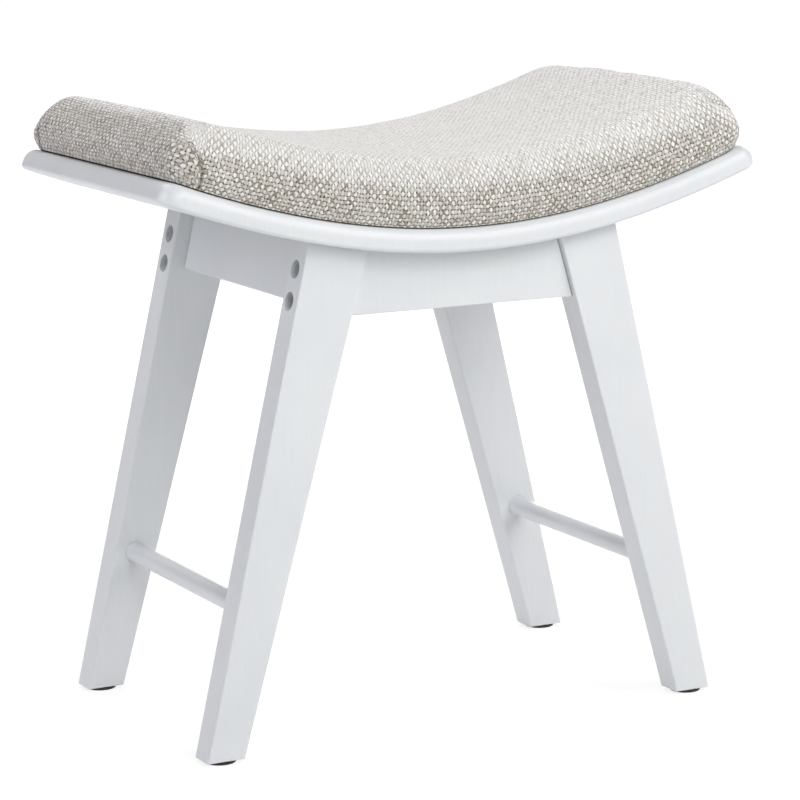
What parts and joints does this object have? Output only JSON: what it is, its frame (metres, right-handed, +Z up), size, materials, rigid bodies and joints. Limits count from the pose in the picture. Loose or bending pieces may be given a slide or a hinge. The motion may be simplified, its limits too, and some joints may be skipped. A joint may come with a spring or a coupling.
{
  "type": "vanity stool",
  "caption": "Backless vanity stool with a saddle-curved seat board, an upholstered linen cushion, and splayed, tapered, painted wood legs joined by aprons and round side stretchers.",
  "frame": {"origin": "on the floor, under the middle of the stool", "axes": "+X along the seat towards its right end, +Y from the front to the back, +Z up"},
  "size_m": [0.496, 0.292, 0.4765],
  "materials": {
    "paint": "satin white paint over wood, slightly softened at the edges",
    "linen": "coarse heathered basket weave, light and brown threads, matte",
    "lining": "thin black non-woven dust cloth, matte",
    "foam": "cut polyurethane foam, matte",
    "plywood": "raw thin bent plywood",
    "beech": "raw fluted wood dowel",
    "zinc": "zinc-plated steel",
    "glide": "moulded black nylon"
  },
  "bodies": {
    "root": {"seat_board": "paint", "cushion_cover": "linen", "cushion_lining": "lining", "cushion_foam": "foam", "cushion_panel": "plywood", "apron_front": "paint", "apron_back": "paint", "apron_left": "paint", "apron_right": "paint", "leg_front_left": "paint", "leg_front_right": "paint", "leg_back_left": "paint", "leg_back_right": "paint", "stretcher_left": "paint", "stretcher_right": "paint", "glide_front_left": "glide", "glide_front_right": "glide", "glide_back_left": "glide", "glide_back_right": "glide", "dowel_front_left_low": "beech", "dowel_front_left_high": "beech", "dowel_front_right_low": "beech", "dowel_front_right_high": "beech", "dowel_back_left_low": "beech", "dowel_back_left_high": "beech", "dowel_back_right_low": "beech", "dowel_back_right_high": "beech", "bolt_front_left_low": "zinc", "bolt_front_left_high": "zinc", "bolt_front_right_low": "zinc", "bolt_front_right_high": "zinc", "bolt_back_left_low": "zinc", "bolt_back_left_high": "zinc", "bolt_back_right_low": "zinc", "bolt_back_right_high": "zinc", "washer_front_left_low": "zinc", "washer_front_left_high": "zinc", "washer_front_right_low": "zinc", "washer_front_right_high": "zinc", "washer_back_left_low": "zinc", "washer_back_left_high": "zinc", "washer_back_right_low": "zinc", "washer_back_right_high": "zinc", "barrel_nut_front_left_low": "zinc", "barrel_nut_front_left_high": "zinc", "barrel_nut_front_right_low": "zinc", "barrel_nut_front_right_high": "zinc", "barrel_nut_back_left_low": "zinc", "barrel_nut_back_left_high": "zinc", "barrel_nut_back_right_low": "zinc", "barrel_nut_back_right_high": "zinc", "seat_screw_front_left": "zinc", "seat_screw_front_right": "zinc", "seat_screw_back_left": "zinc", "seat_screw_back_right": "zinc", "cushion_screw_front_left": "zinc", "cushion_screw_front_right": "zinc", "cushion_screw_back_left": "zinc", "cushion_screw_back_right": "zinc"}
  },
  "joints": []
}
